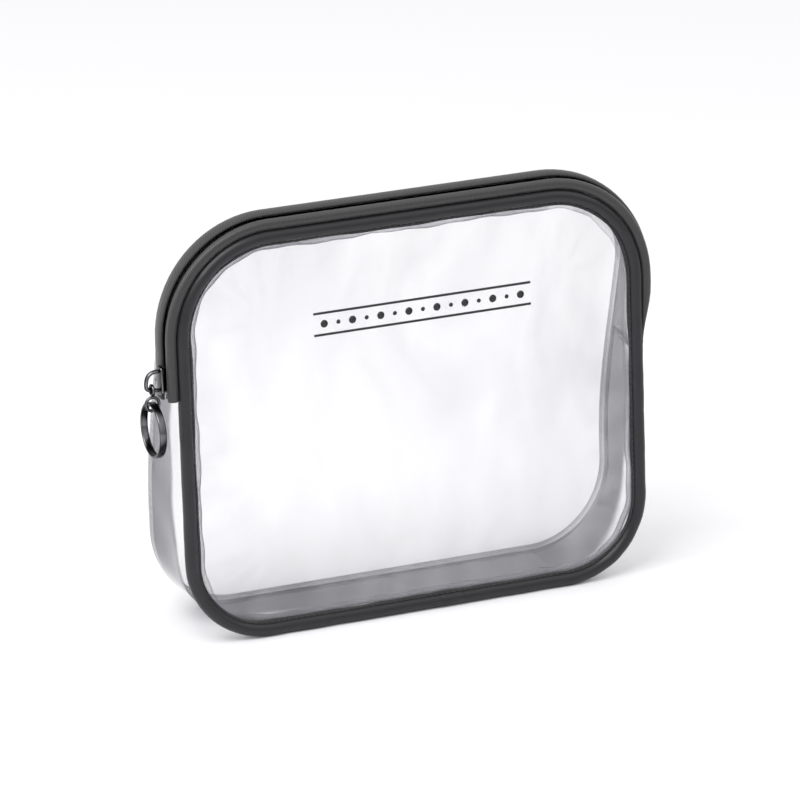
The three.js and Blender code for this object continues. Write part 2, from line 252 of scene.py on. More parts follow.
flange_edge_thickness = 0.0005
flange = run_round_seam([
    (-0.0037, -flange_edge_thickness), (-0.0037, 0.0004), (-0.0020, 0.0007), (-0.0020, -0.0012),
])
for vert in flange.verts:
    if abs(vert.co.y) < flange_edge_thickness * 1.1:
        length = seam_length(vert.co.x, vert.co.z)
        vert.co += towards_middle(vert) * waver(length, (0.00025, 95, 0.6), (0.00015, 233, 0))
lean_back(flange)
lay_uv(flange)
flange = finished(flange, "piping_flange", piping_material)
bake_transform(flange)

# Lap: a short sleeve of the piping's own cloth over the joint of its two ends.
# It is glued on and pressed a little flat.
lap_low, lap_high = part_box("front_piping_lap")
lap_wall = 0.0003
lap_overhang = 0.0015
lap_flattening = 0.93
sleeve = bmesh.new()
turn_to_x = Matrix.Rotation(math.pi / 2, 4, "Y")
bmesh.ops.create_cone(
    sleeve, cap_ends=True, segments=24, radius1=piping_radius + lap_wall, radius2=piping_radius + lap_wall,
    depth=lap_high[0] - lap_low[0] + 2 * lap_overhang, matrix=turn_to_x,
)


def round_edges(mesh, edges, radius, segments):
    bmesh.ops.bevel(
        mesh, geom=edges, offset=radius, offset_type="OFFSET", segments=segments, profile=0.5,
        affect="EDGES", material=-1,
    )


end_loops = [e for e in sleeve.edges if len({round(v.co.x, 6) for v in e.verts}) == 1]
round_edges(sleeve, end_loops, radius=0.0004, segments=2)
bmesh.ops.scale(sleeve, verts=sleeve.verts, vec=(1, 1, lap_flattening))
bmesh.ops.translate(
    sleeve, verts=sleeve.verts, vec=((lap_low[0] + lap_high[0]) / 2, front_y(seam_base), seam_base),
)
lap = finished(sleeve, "piping_lap", piping_material, "pouch")
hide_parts("front_piping_lap")


# Stitching: a lockstitch in black thread, 2.6 mm to the stitch, that runs round the flange beside the
# roll and holds the roll, the front panel and the gusset together.
def sewing_thread():
    material, nodes, links, shader = new_material("sewing_thread")
    shader.inputs["Base Color"].default_value = (0.020, 0.020, 0.021, 1)
    shader.inputs["Roughness"].default_value = 0.6
    shader.inputs["Sheen Weight"].default_value = 0.3
    place = nodes.new("ShaderNodeTexCoord")
    ply = nodes.new("ShaderNodeTexWave")
    ply.inputs["Scale"].default_value = 900
    ply.inputs["Distortion"].default_value = 2
    links.new(place.outputs["Object"], ply.inputs["Vector"])
    bump_from(nodes, links, shader, ply.outputs["Fac"], strength=0.5, distance=0.00005)
    return material


def seam_station(length):
    """The point of the seam line at a length from the middle of the base, and the outward direction."""
    passed = 0
    for kind, where, _, start in seam_legs():
        if kind == "straight":
            run = math.hypot(*where)
            if length <= passed + run:
                share = (length - passed) / run
                along = Vector((where[0], 0, where[1])).normalized()
                point = Vector((start[0] + where[0] * share, 0, start[1] + where[1] * share))
                return point, along.cross(Vector((0, 1, 0))) * -1
        else:
            on_right = where[0] > seam_middle
            on_top = where[1] > seam_centre_z
            radius = top_radius if on_top else base_radius
            run = radius * math.pi / 2
            if length <= passed + run:
                if on_right:
                    first_turn = 0 if on_top else -math.pi / 2
                else:
                    first_turn = math.pi / 2 if on_top else math.pi
                angle = first_turn + (length - passed) / radius
                out = Vector((math.cos(angle), 0, math.sin(angle)))
                return Vector((where[0], 0, where[1])) + out * radius, out
        passed += run
    return Vector((seam_middle, 0, seam_base)), Vector((0, 0, -1))


def row_of_turns(mesh, start, stop, pitch, out_by, behind, size):
    """Sets a rounded turn every pitch along the seam line: size is (outward, behind, along)."""
    length = start
    while length < stop:
        point, out = seam_station(length)
        along = Vector((0, 1, 0)).cross(out)
        turn = Matrix((out, Vector((0, 1, 0)), along)).transposed().to_4x4()
        place = Matrix.Translation(point + out * out_by + Vector((0, behind, 0))) @ turn
        bmesh.ops.create_icosphere(
            mesh, subdivisions=1, radius=0.5, matrix=place @ Matrix.Diagonal((*size, 1)),
        )
        length += pitch


stitches = bmesh.new()
stitch_pitch = 0.0026
stitch_size = (0.0004, 0.0005, 0.0020)
stitch_out, stitch_behind = -0.0031, -0.0011
lap_clear = 0.001
whole_seam = seam_length(seam_middle - 1e-6, seam_base)
row_of_turns(
    stitches, lap_clear, whole_seam - lap_clear, stitch_pitch, stitch_out, stitch_behind, stitch_size,
)
lean_back(stitches)
stitching = finished(stitches, "stitching", sewing_thread())
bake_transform(stitching)


# Front panel: one glossy clear sheet, cut to the seam line and drawn tight by the piping.
# It swells a little in the middle and ripples near its edges, where the seam gathers it.
def in_round_corners(x, z, half_width, half_height, radius_top, radius_low):
    """Pulls a point on a plain rectangle's edge onto the round-cornered one."""
    radius = radius_top if z > 0 else radius_low
    corner_x = half_width - radius
    corner_z = half_height - radius
    over_x = abs(x) - corner_x
    over_z = abs(z) - corner_z
    if over_x <= 0 or over_z <= 0:
        return x, z
    far = max(over_x, over_z)
    shrink = far / math.hypot(over_x, over_z)
    return math.copysign(corner_x + over_x * shrink, x), math.copysign(corner_z + over_z * shrink, z)


def sheet_in_seam(inset, columns, rows):
    """A grid that fills the seam line, less an inset, with y left at 0."""
    mesh = bmesh.new()
    bmesh.ops.create_grid(mesh, x_segments=columns, y_segments=rows, size=1)
    half_width = seam_half - inset
    half_height = (seam_top - seam_base) / 2 - inset
    for vert in mesh.verts:
        level = max(abs(vert.co.x), abs(vert.co.y), 1e-9)
        edge_x, edge_z = in_round_corners(
            vert.co.x / level * half_width, vert.co.y / level * half_height,
            half_width, half_height, top_radius - inset, base_radius - inset,
        )
        vert.co = Vector((seam_middle + edge_x * level, 1 - level, seam_centre_z + edge_z * level))
    return mesh


def clear_film(name, tint, face_on, edge_on, reflection_streaks, roughness):
    """Clear sheet: nearly unseen face on and milky at a slant, where its tint grows more opaque as a painted
    reflection. A stretched noise bumps its gloss with soft draw marks and also lays painted reflection
    streaks in that opacity.
    """
    material, nodes, links, shader = new_material(name)
    shader.inputs["Base Color"].default_value = tint
    shader.inputs["Roughness"].default_value = roughness
    shader.inputs["IOR"].default_value = 1.53
    shader.inputs["Specular IOR Level"].default_value = 0.6
    shader.inputs["Coat Weight"].default_value = 0.4
    shader.inputs["Coat Roughness"].default_value = 0.03
    slant = nodes.new("ShaderNodeLayerWeight")
    slant.inputs["Blend"].default_value = 0.5
    place = nodes.new("ShaderNodeTexCoord")
    stretch = nodes.new("ShaderNodeMapping")
    stretch.inputs["Scale"].default_value = (1.0, 1.0, 0.45)
    links.new(place.outputs["Object"], stretch.inputs["Vector"])
    draw_marks_and_streaks = nodes.new("ShaderNodeTexNoise")
    draw_marks_and_streaks.inputs["Scale"].default_value = 22
    draw_marks_and_streaks.inputs["Detail"].default_value = 2
    draw_marks_and_streaks.inputs["Distortion"].default_value = 0.8
    links.new(stretch.outputs["Vector"], draw_marks_and_streaks.inputs["Vector"])
    # Opacity rising at a slant shows the grey tint: a painted reflection.
    painted_reflection_cover = nodes.new("ShaderNodeMapRange")
    painted_reflection_cover.inputs["To Min"].default_value = face_on
    painted_reflection_cover.inputs["To Max"].default_value = edge_on
    links.new(slant.outputs["Facing"], painted_reflection_cover.inputs["Value"])
    # The noise breaks that opacity into painted reflection streaks.
    reflection_streak_patch = nodes.new("ShaderNodeMapRange")
    reflection_streak_patch.inputs["From Min"].default_value = 0.35
    reflection_streak_patch.inputs["From Max"].default_value = 0.75
    reflection_streak_patch.inputs["To Min"].default_value = 1 - reflection_streaks
    reflection_streak_patch.inputs["To Max"].default_value = 1 + reflection_streaks
    links.new(draw_marks_and_streaks.outputs["Fac"], reflection_streak_patch.inputs["Value"])
    both = nodes.new("ShaderNodeMath")
    both.operation = "MULTIPLY"
    both.use_clamp = True
    links.new(painted_reflection_cover.outputs["Result"], both.inputs[0])
    links.new(reflection_streak_patch.outputs["Result"], both.inputs[1])
    links.new(both.outputs["Value"], shader.inputs["Alpha"])
    bump_from(nodes, links, shader, draw_marks_and_streaks.outputs["Fac"], strength=0.35, distance=0.0006)
    return material


front_film = clear_film(
    "front_film", tint=(0.62, 0.62, 0.66, 1), face_on=0.035, edge_on=0.50, reflection_streaks=0.6, roughness=0.05,
)
front_swell = 0.0022
sheet_thickness = 0.0004
ripple_height = 0.002
ripple_reach = 0.22


def swell_at(middle_share, height):
    """How far a sheet swells: 0 at its edge, where the share is 0, and the height in the middle."""
    return height * (1 - (1 - middle_share) ** 2)


def give_thickness(piece, thickness):
    sheet = piece.modifiers.new("sheet", "SOLIDIFY")
    sheet.thickness = thickness
    sheet.offset = 1


front = sheet_in_seam(inset=0.0024, columns=90, rows=76)
for vert in front.verts:
    middle_share = vert.co.y
    length = seam_length(vert.co.x, vert.co.z)
    edge_share = middle_share / ripple_reach
    fade = max(0, 1 - edge_share) * edge_share
    ripple = ripple_height * fade * math.sin(length * 310 + 2 * math.sin(length * 47))
    vert.co.y = front_y(vert.co.z) - swell_at(middle_share, front_swell) - ripple
front_panel = finished(front, "front_panel", front_film)
give_thickness(front_panel, sheet_thickness)
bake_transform(front_panel)
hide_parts("front_panel_lower", "front_panel_upper")

# Turned-in edge: the raw edge of the clear sheet, folded back behind the front seam.
# It shows through the panel as a narrow milky strip that wavers along the stitching.
edge_film = clear_film(
    "edge_film", tint=(0.30, 0.30, 0.34, 1), face_on=0.30, edge_on=1.0, reflection_streaks=0.6, roughness=0.10,
)
turned = run_round_seam([(-0.0058, 0.0009), (-0.0056, 0.0014), (-0.0030, 0.0014), (-0.0030, 0.0009)])
for vert in turned.verts:
    length = seam_length(vert.co.x, vert.co.z)
    vert.co += towards_middle(vert) * waver(length, (0.00035, 140, 0), (0.00028, 371, 0.4))
lean_back(turned)
lay_uv(turned)
turned_edge = finished(turned, "turned_edge", edge_film)
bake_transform(turned_edge)
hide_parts("front_seam_edge_lower", "front_seam_edge_upper")

# Gusset: a clear strip, welded to the back panel and sewn into the front seam.
# It is full depth under the base and up the sides, and narrow behind the zip.
base_depth = 0.040
top_depth = 0.014
narrows_from = 0.045
left_zip_end = 0.105
right_zip_end = 0.098
base_stays_flat = 0.012
gusset_ripple = 0.00035


def depth_at(z):
    """Depth of the pouch at height z: full at the base and drawn in at the zip."""
    share = min(1, max(0, (z - narrows_from) / (seam_top - narrows_from)))
    return base_depth - (base_depth - top_depth) * share * share * (3 - 2 * share)


def strip_section(out_inner, out_outer, steps):
    """A thin strip from front to back, its depth running from 0 to 1."""
    outer = [(out_outer, i / steps) for i in range(steps + 1)]
    inner = [(out_inner, 1 - i / steps) for i in range(steps + 1)]
    return outer + inner


def fit_depth(mesh, front_clear, back_clear, sag):
    """Spreads a strip between the front seam and the back seam, bowed inward by sag."""
    for vert in mesh.verts:
        share = vert.co.y
        length = seam_length(vert.co.x, vert.co.z)
        depth = depth_at(vert.co.z)
        off_base = min(1, abs(vert.co.z) / base_stays_flat)
        ripple = gusset_ripple * math.sin(length * 170 + 3 * share)
        vert.co += towards_middle(vert) * (sag + ripple) * 4 * share * (1 - share) * off_base
        vert.co.y = front_y(vert.co.z) + front_clear + share * (depth - back_clear - front_clear)


def cut_at_zip_ends(mesh, above, lower_by=0):
    """Keeps the part above or below the line between the zip's two ends, and closes the cuts."""
    left_end = Vector((seam_middle - seam_half, 0, left_zip_end - lower_by))
    right_end = Vector((seam_middle + seam_half, 0, right_zip_end - lower_by))
    upward = (right_end - left_end).cross(Vector((0, 1, 0))).normalized()
    cut = bmesh.ops.bisect_plane(
        mesh, geom=mesh.verts[:] + mesh.edges[:] + mesh.faces[:], dist=1e-6,
        plane_co=left_end, plane_no=-upward if above else upward, clear_outer=True,
    )["geom_cut"]
    rims = [g for g in cut if isinstance(g, bmesh.types.BMEdge)]
    bmesh.ops.holes_fill(mesh, edges=rims, sides=0)


# The gusset's dark grey tint, shown mostly at a slant, is partly the sheet's own grey and partly painted
# reflection of the surroundings.
gusset_film = clear_film(
    "gusset_film", tint=(0.11, 0.11, 0.125, 1), face_on=0.11, edge_on=1.18, reflection_streaks=0.16, roughness=0.07,
)


def paint_highlight_by_seam(material):
    """Lets the strip clear towards the front seam, as a painted highlight beside the piping."""
    nodes, links = material.node_tree.nodes, material.node_tree.links
    shader = nodes["Principled BSDF"]
    uv = nodes.new("ShaderNodeUVMap")
    uv.uv_map = "seam"
    stray = nodes.new("ShaderNodeTexNoise")
    stray.inputs["Scale"].default_value = 14
    stray.inputs["Detail"].default_value = 1
    links.new(uv.outputs["UV"], stray.inputs["Vector"])
    split = nodes.new("ShaderNodeSeparateXYZ")
    links.new(uv.outputs["UV"], split.inputs["Vector"])
    behind = nodes.new("ShaderNodeMath")
    behind.operation = "MULTIPLY_ADD"
    behind.inputs[1].default_value = -0.035
    links.new(stray.outputs["Fac"], behind.inputs[0])
    links.new(split.outputs["Y"], behind.inputs[2])
    # Clearer towards the front seam: the painted highlight.
    share = nodes.new("ShaderNodeMapRange")
    share.interpolation_type = "SMOOTHSTEP"
    share.inputs["From Min"].default_value = -0.005
    share.inputs["From Max"].default_value = 0.001
    share.inputs["To Min"].default_value = 0.06
    share.inputs["To Max"].default_value = 1.0
    links.new(behind.outputs["Value"], share.inputs["Value"])
    whole = nodes.new("ShaderNodeMath")
    whole.operation = "MULTIPLY"
    links.new(shader.inputs["Alpha"].links[0].from_socket, whole.inputs[0])
    links.new(share.outputs["Result"], whole.inputs[1])
    links.new(whole.outputs["Value"], shader.inputs["Alpha"])


paint_highlight_by_seam(gusset_film)
wide = run_round_seam(strip_section(out_inner=0.0024, out_outer=0.0028, steps=14))
fit_depth(wide, front_clear=0.0012, back_clear=0.0008, sag=0.0012)
cut_at_zip_ends(wide, above=False)
lay_uv(wide)
gusset = finished(wide, "gusset", gusset_film, "pouch")
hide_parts("gusset_lower", "gusset_joint_left", "gusset_joint_right")
narrow = run_round_seam(strip_section(out_inner=0.0022, out_outer=0.0026, steps=6))
fit_depth(narrow, front_clear=0.0108, back_clear=0.0008, sag=0)
cut_at_zip_ends(narrow, above=True, lower_by=0.004)
lay_uv(narrow)
rear_gusset = finished(narrow, "rear_gusset", gusset_film, "pouch")
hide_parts("gusset_upper")

# Back panel: a clear sheet like the front one, without piping, heat-welded to the gusset.
# The weld leaves a narrow pressed rim all round.
back_film = clear_film(
    "back_film", tint=(0.62, 0.62, 0.66, 1), face_on=0.03, edge_on=0.45, reflection_streaks=0.6, roughness=0.07,
)
back_swell = 0.0015
back = sheet_in_seam(inset=-0.0018, columns=80, rows=70)
for vert in back.verts:
    vert.co.y = front_y(vert.co.z) + depth_at(vert.co.z) + swell_at(vert.co.y, back_swell)
bmesh.ops.reverse_faces(back, faces=back.faces)
back_panel = finished(back, "back_panel_sheet", back_film, "pouch")
give_thickness(back_panel, sheet_thickness)
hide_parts("back_panel")
weld_film = clear_film(
    "weld_film", tint=(0.34, 0.34, 0.38, 1), face_on=0.30, edge_on=0.95, reflection_streaks=0.3, roughness=0.12,
)
rim = run_round_seam([
    (0.0006, -0.0006), (0.0026, -0.0006), (0.0028, -0.0004), (0.0028, 0.0007), (0.0006, 0.0007),
])
for vert in rim.verts:
    vert.co.y += front_y(vert.co.z) + depth_at(vert.co.z)
weld_rim = finished(rim, "weld_rim", weld_film, "pouch")
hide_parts("back_seam_rim")


# Zip tapes: black woven tape with fine cross ribs. The front one is rolled over the piping,
# the back one arches over the opening, and between them a dark slit shows the coil.
def woven_tape(name, rib_pitch, rib_depth, colour, roughness):
    material, nodes, links, shader = new_material(name)
    uv = nodes.new("ShaderNodeUVMap")
    uv.uv_map = "seam"
    split = nodes.new("ShaderNodeSeparateXYZ")
    links.new(uv.outputs["UV"], split.inputs["Vector"])
    along = nodes.new("ShaderNodeMath")
    along.operation = "MULTIPLY"
    along.inputs[1].default_value = 2 * math.pi / rib_pitch
    links.new(split.outputs["X"], along.inputs[0])
    across = nodes.new("ShaderNodeMath")
    across.operation = "MULTIPLY_ADD"
    across.inputs[1].default_value = 2 * math.pi / (rib_pitch * 1.7)
    links.new(split.outputs["Y"], across.inputs[0])
    links.new(along.outputs["Value"], across.inputs[2])
    rib = nodes.new("ShaderNodeMath")
    rib.operation = "SINE"
    links.new(across.outputs["Value"], rib.inputs[0])
    fuzz = nodes.new("ShaderNodeTexNoise")
    fuzz.inputs["Scale"].default_value = 900
    place = nodes.new("ShaderNodeTexCoord")
    links.new(place.outputs["Object"], fuzz.inputs["Vector"])
    ramp = nodes.new("ShaderNodeMapRange")
    ramp.inputs["From Min"].default_value = -1
    links.new(rib.outputs["Value"], ramp.inputs["Value"])
    # Colour follows the rib height: painted shade in the rib hollows and painted light on the rib tops.
    painted_light_tone = nodes.new("ShaderNodeMix")
    painted_light_tone.data_type = "RGBA"
    painted_light_tone.inputs["A"].default_value = (colour * 0.55, colour * 0.55, colour * 0.56, 1)
    painted_light_tone.inputs["B"].default_value = (colour * 1.35, colour * 1.34, colour * 1.34, 1)
    links.new(ramp.outputs["Result"], painted_light_tone.inputs["Factor"])
    links.new(painted_light_tone.outputs["Result"], shader.inputs["Base Color"])
    shader.inputs["Roughness"].default_value = roughness
    shader.inputs["Sheen Weight"].default_value = 0.25
    shader.inputs["Sheen Roughness"].default_value = 0.4
    height = nodes.new("ShaderNodeMath")
    height.operation = "MULTIPLY_ADD"
    height.inputs[1].default_value = 0.25
    links.new(fuzz.outputs["Fac"], height.inputs[0])
    links.new(ramp.outputs["Result"], height.inputs[2])
    bump_from(nodes, links, shader, height.outputs["Value"], strength=0.8, distance=rib_depth)
    return material


def sink_to_right_end(mesh):
    """Brings the zip down towards its right end, until it disappears into the seam."""
    foot = 0.0018
    sink_run = 0.026
    sink_share = 0.88
    for vert in mesh.verts:
        share = min(1, max(0, (vert.co.z - right_zip_end) / sink_run))
        beyond = vert.co.x - seam_middle - seam_half - foot
        if vert.co.x > seam_middle and share < 1 and beyond > 0:
            vert.co.x -= beyond * sink_share * (1 - share * share * (3 - 2 * share))


front_tape_material = woven_tape(
    "front_tape_weave", rib_pitch=0.0008, rib_depth=0.00008, colour=0.032, roughness=0.38,
)
front_roll = run_round_seam(
    circle_section(out=0.0050, behind=0.0001, radius_out=0.0022, radius_behind=0.0018, count=20),
)
cut_at_zip_ends(front_roll, above=True)
sink_to_right_end(front_roll)
lean_back(front_roll)
lay_uv(front_roll)
front_tape = finished(front_roll, "front_tape", front_tape_material)
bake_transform(front_tape)
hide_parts("zip_tape_front")

back_tape_material = woven_tape(
    "back_tape_weave", rib_pitch=0.0010, rib_depth=0.00022, colour=0.034, roughness=0.58,
)
arch = [
    (0.0076, 0.0031), (0.0082, 0.0034), (0.0086, 0.0043), (0.0088, 0.0058), (0.0087, 0.0075),
    (0.0083, 0.0091), (0.0076, 0.0103), (0.0064, 0.0112), (0.0048, 0.0116), (0.0032, 0.0117),
    (0.0031, 0.0110), (0.0048, 0.0108), (0.0060, 0.0103), (0.0070, 0.0093), (0.0076, 0.0078),
    (0.0077, 0.0062), (0.0075, 0.0050), (0.0072, 0.0043), (0.0072, 0.0034),
]
back_arch = run_round_seam(arch)
cut_at_zip_ends(back_arch, above=True)
sink_to_right_end(back_arch)
lean_back(back_arch)
lay_uv(back_arch)
back_tape = finished(back_arch, "back_tape", back_tape_material, "pouch")
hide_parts("zip_tape_back")


# Tape webs: the flat part of each tape, woven in one with the rolled part.
# It carries the coil at its edge and closes the slit from below.
def tape_web(name, material, behind_start, behind_end):
    mesh = run_round_seam([
        (0.0037, behind_start), (0.0042, behind_start), (0.0042, behind_end), (0.0037, behind_end),
    ])
    cut_at_zip_ends(mesh, above=True)
    sink_to_right_end(mesh)
    lean_back(mesh)
    lay_uv(mesh)
    return finished(mesh, name, material)


front_web = tape_web("front_tape_web", front_tape_material, behind_start=0.0006, behind_end=0.0023)
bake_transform(front_web)
back_web = tape_web("back_tape_web", back_tape_material, behind_start=0.0026, behind_end=0.0106)
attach(back_web, "pouch")


# Coil: two rows of black nylon turns, sewn on the facing edges of the two tapes.
# They lie down in the slit, half a turn apart, so that they mesh.
def plain_nylon():
    material, nodes, links, shader = new_material("coil_nylon")
    shader.inputs["Base Color"].default_value = (0.045, 0.045, 0.048, 1)
    shader.inputs["Specular IOR Level"].default_value = 0.35
    worn_gloss(nodes, links, shader, scale=700, smoothest=0.55, roughest=0.80)
    return material


coil_material = plain_nylon()
coil_pitch = 0.0016
coil_out = 0.0050
turn_size = (0.0021, 0.0011, 0.0011)
short_of_end = 0.004


def coil_row(name, behind, phase, body_from, body_to=None):
    """One row: a short round-ended turn every pitch, from one end of the zip to the other."""
    mesh = bmesh.new()
    start = seam_length(seam_middle + seam_half, right_zip_end + short_of_end) + phase * coil_pitch
    stop = seam_length(seam_middle - seam_half, left_zip_end + short_of_end)
    row_of_turns(mesh, start, stop, coil_pitch, coil_out, behind, turn_size)
    sink_to_right_end(mesh)
    lean_back(mesh)
    row = finished(mesh, name, coil_material, None if body_to else body_from)
    if body_to:
        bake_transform(row)
    return row


front_coil = coil_row("front_coil", behind=0.0021, phase=0, body_from="pouch", body_to="front_flap")
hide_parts("zip_coil_front")
back_coil = coil_row("back_coil", behind=0.0028, phase=0.5, body_from="pouch")
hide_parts("zip_coil_back")


# Stops: a nylon clip, moulded over the two tapes at each end of the coil.
# The slider runs up against it. The right one stands less, because the zip sinks there.
stop_foot = 0.0033
stop_behind = 0.0026
stop_above_end = 0.0016
for side_name, side, end_height, stand in (
    ("left", -1, left_zip_end, 0.0068),
    ("right", 1, right_zip_end, 0.0042),
):
    clip = bmesh.new()
    bmesh.ops.create_cube(clip, size=1, matrix=Matrix.Diagonal((stand - stop_foot, 0.0014, 0.0021, 1)))
    round_edges(clip, clip.edges[:], radius=0.0003, segments=2)
    clip_x = seam_middle + side * (seam_half + (stand + stop_foot) / 2)
    bmesh.ops.translate(
        clip, verts=clip.verts, vec=(clip_x, front_y(end_height) + stop_behind, end_height + stop_above_end),
    )
    clip_piece = finished(clip, side_name + "_stop", coil_material, "pouch")
    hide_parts("zip_stop_" + side_name)


# Slider: a die-cast body with a bowed crown, a link and a round ring, all plated black nickel.
# The plate straddles the slit, the link hangs from the crown, and the ring hangs from the link.
def black_nickel():
    material, nodes, links, shader = new_material("black_nickel")
    shader.inputs["Metallic"].default_value = 1
    slant = nodes.new("ShaderNodeLayerWeight")
    slant.inputs["Blend"].default_value = 0.5
    # Colour by facing: painted highlight where the metal faces the camera and painted shade at its rims.
    painted_light_tone = nodes.new("ShaderNodeMix")
    painted_light_tone.data_type = "RGBA"
    painted_light_tone.inputs["A"].default_value = (0.22, 0.22, 0.23, 1)
    painted_light_tone.inputs["B"].default_value = (0.012, 0.012, 0.014, 1)
    rim_shade = nodes.new("ShaderNodeMapRange")
    rim_shade.inputs["From Min"].default_value = 0.03
    rim_shade.inputs["From Max"].default_value = 0.24
    links.new(slant.outputs["Facing"], rim_shade.inputs["Value"])
    links.new(rim_shade.outputs["Result"], painted_light_tone.inputs["Factor"])
    links.new(painted_light_tone.outputs["Result"], shader.inputs["Base Color"])
    polish = worn_gloss(nodes, links, shader, scale=420, smoothest=0.10, roughest=0.26, detail=5)
    bump_from(nodes, links, shader, polish.outputs["Fac"], strength=0.15, distance=0.00005)
    return material


nickel = black_nickel()


def middle_of(node):
    low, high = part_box(node)
    return Vector([(a + b) / 2 for a, b in zip(low, high)])


zip_tilt = Matrix.Rotation(-math.atan(lean), 4, "X")
plate_low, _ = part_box("slider_body")
plate_thick, plate_width, plate_height = 0.0011, 0.0064, 0.012
plate_taper = 0.76
plate = bmesh.new()
bmesh.ops.create_cube(plate, size=1)
bmesh.ops.scale(plate, verts=plate.verts, vec=(plate_thick, plate_width, plate_height))
bmesh.ops.scale(plate, verts=[v for v in plate.verts if v.co.z > 0], vec=(1, plate_taper, 1))
corners = [e for e in plate.edges if abs(e.verts[0].co.x - e.verts[1].co.x) > plate_thick / 2]
round_edges(plate, corners, radius=0.0015, segments=5)
outer_rim = [
    e for e in plate.edges
    if all(v.co.x < 0 for v in e.verts) and len(e.link_faces) == 2 and e.calc_face_angle(0) > 1
]
round_edges(plate, outer_rim, radius=0.00035, segments=3)
neck = Matrix.Translation((0.0014, 0, 0)) @ Matrix.Diagonal((0.0022, 0.0008, 0.009, 1))
bmesh.ops.create_cube(plate, size=1, matrix=neck)
slider_middle = middle_of("slider_body")
slit_y = middle_of("slider_crown").y
plate_place = Matrix.Translation((plate_low[0] + plate_thick / 2, slit_y, slider_middle.z)) @ zip_tilt
bmesh.ops.transform(plate, verts=plate.verts, matrix=plate_place)
slider = finished(plate, "slider", nickel, "slider")
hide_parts("slider_body")


def bent_wire(name, points, width, thick, place, body, node):
    """A flat wire with round edges, bent through points and closed at both ends."""
    mesh = bmesh.new()
    curve = bpy.data.curves.new(name + "_path", "CURVE")
    curve.dimensions = "3D"
    spline = curve.splines.new("NURBS")
    spline.points.add(len(points) - 1)
    for target, point in zip(spline.points, points):
        target.co = (*point, 1)
    spline.use_endpoint_u = True
    spline.order_u = 4
    spline.resolution_u = 8
    curve.bevel_depth = thick / 2
    curve.bevel_resolution = 4
    curve.use_fill_caps = True
    holder = bpy.data.objects.new(name + "_path", curve)
    bpy.context.scene.collection.objects.link(holder)
    bpy.context.view_layer.update()
    mesh.from_mesh(holder.evaluated_get(bpy.context.evaluated_depsgraph_get()).to_mesh())
    bpy.data.objects.remove(holder)
    bmesh.ops.scale(mesh, verts=mesh.verts, vec=(1, width / thick, 1))
    bmesh.ops.remove_doubles(mesh, verts=mesh.verts, dist=1e-6)
    bmesh.ops.recalc_face_normals(mesh, faces=mesh.faces)
    bmesh.ops.transform(mesh, verts=mesh.verts, matrix=place)
    piece = finished(mesh, name, nickel, body)
    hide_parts(node)


crown_low, crown_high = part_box("slider_crown")
crown_reach = crown_high[0] - crown_low[0]
crown_half = 0.0036
crown_points = [
    (crown_reach, 0, -crown_half - 0.0004), (0.0038, 0, -crown_half), (0.0020, 0, -crown_half),
    (0.0007, 0, -crown_half + 0.0008), (0.0007, 0, -0.0006), (0.0011, 0, 0.0016),
    (0.0024, 0, crown_half - 0.0002), (0.0042, 0, crown_half + 0.0004),
    (crown_reach, 0, crown_half + 0.0004),
]
crown_place = Matrix.Translation((crown_low[0], slit_y, slider_middle.z)) @ zip_tilt
bent_wire(
    "slider_crown_bow", crown_points, width=0.0021, thick=0.0016, place=crown_place, body="slider",
    node="slider_crown",
)


def spun_ring(radius, section, steps):
    """A ring about X, spun from a closed section of (outward, along) points."""
    mesh = bmesh.new()
    verts = [mesh.verts.new((along, 0, radius + out)) for out, along in section]
    edges = [mesh.edges.new((verts[i], verts[(i + 1) % len(verts)])) for i in range(len(verts))]
    bmesh.ops.spin(
        mesh, geom=verts + edges, cent=(0, 0, 0), axis=(1, 0, 0), angle=2 * math.pi, steps=steps,
        use_merge=True,
    )
    bmesh.ops.recalc_face_normals(mesh, faces=mesh.faces)
    return mesh


link_low, link_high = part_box("pull_link")
link_x = (link_low[0] + link_high[0]) / 2
eye_wire = 0.00065
upper_eye_radius = 0.0020
lower_eye_radius = 0.0028
lower_eye_drop = 0.0094
link_mesh = spun_ring(upper_eye_radius, circle_section(0, 0, eye_wire, eye_wire, 12), 32)
bmesh.ops.translate(link_mesh, verts=link_mesh.verts, vec=(0, 0, -crown_half))
lower_eye = spun_ring(lower_eye_radius, circle_section(0, 0, eye_wire, eye_wire, 12), 36)
bmesh.ops.rotate(lower_eye, verts=lower_eye.verts, matrix=Matrix.Rotation(math.pi / 2, 3, "Z"))
bmesh.ops.translate(lower_eye, verts=lower_eye.verts, vec=(0, 0, -lower_eye_drop))
joined = bpy.data.meshes.new("eye")
lower_eye.to_mesh(joined)
lower_eye.free()
link_mesh.from_mesh(joined)
bpy.data.meshes.remove(joined)
link_place = Matrix.Translation((link_x, slit_y, slider_middle.z)) @ zip_tilt
bmesh.ops.transform(link_mesh, verts=link_mesh.verts, matrix=link_place)
link = finished(link_mesh, "link", nickel, "link")
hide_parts("pull_link")

ring_low, ring_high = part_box("pull_ring")
ring_radius = 0.0115
ring_band = 0.0012
ring_half = (ring_high[0] - ring_low[0]) / 2
ring_corner = 0.0004
band_section = []
for corner_out, corner_along, start_turn in ((1, 1, 0), (-1, 1, 90), (-1, -1, 180), (1, -1, 270)):
    for step in range(4):
        turn = math.radians(start_turn + 30 * step)
        band_section.append((
            corner_out * (ring_band / 2 - ring_corner) + ring_corner * math.cos(turn),
            corner_along * (ring_half - ring_corner) + ring_corner * math.sin(turn),
        ))
ring_mesh = spun_ring(ring_radius - ring_band / 2, band_section, 96)
ring_place = Matrix.Translation(middle_of("pull_ring")) @ zip_tilt
bmesh.ops.transform(ring_mesh, verts=ring_mesh.verts, matrix=ring_place)
ring = finished(ring_mesh, "ring_pull", nickel, "ring")
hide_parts("pull_ring")


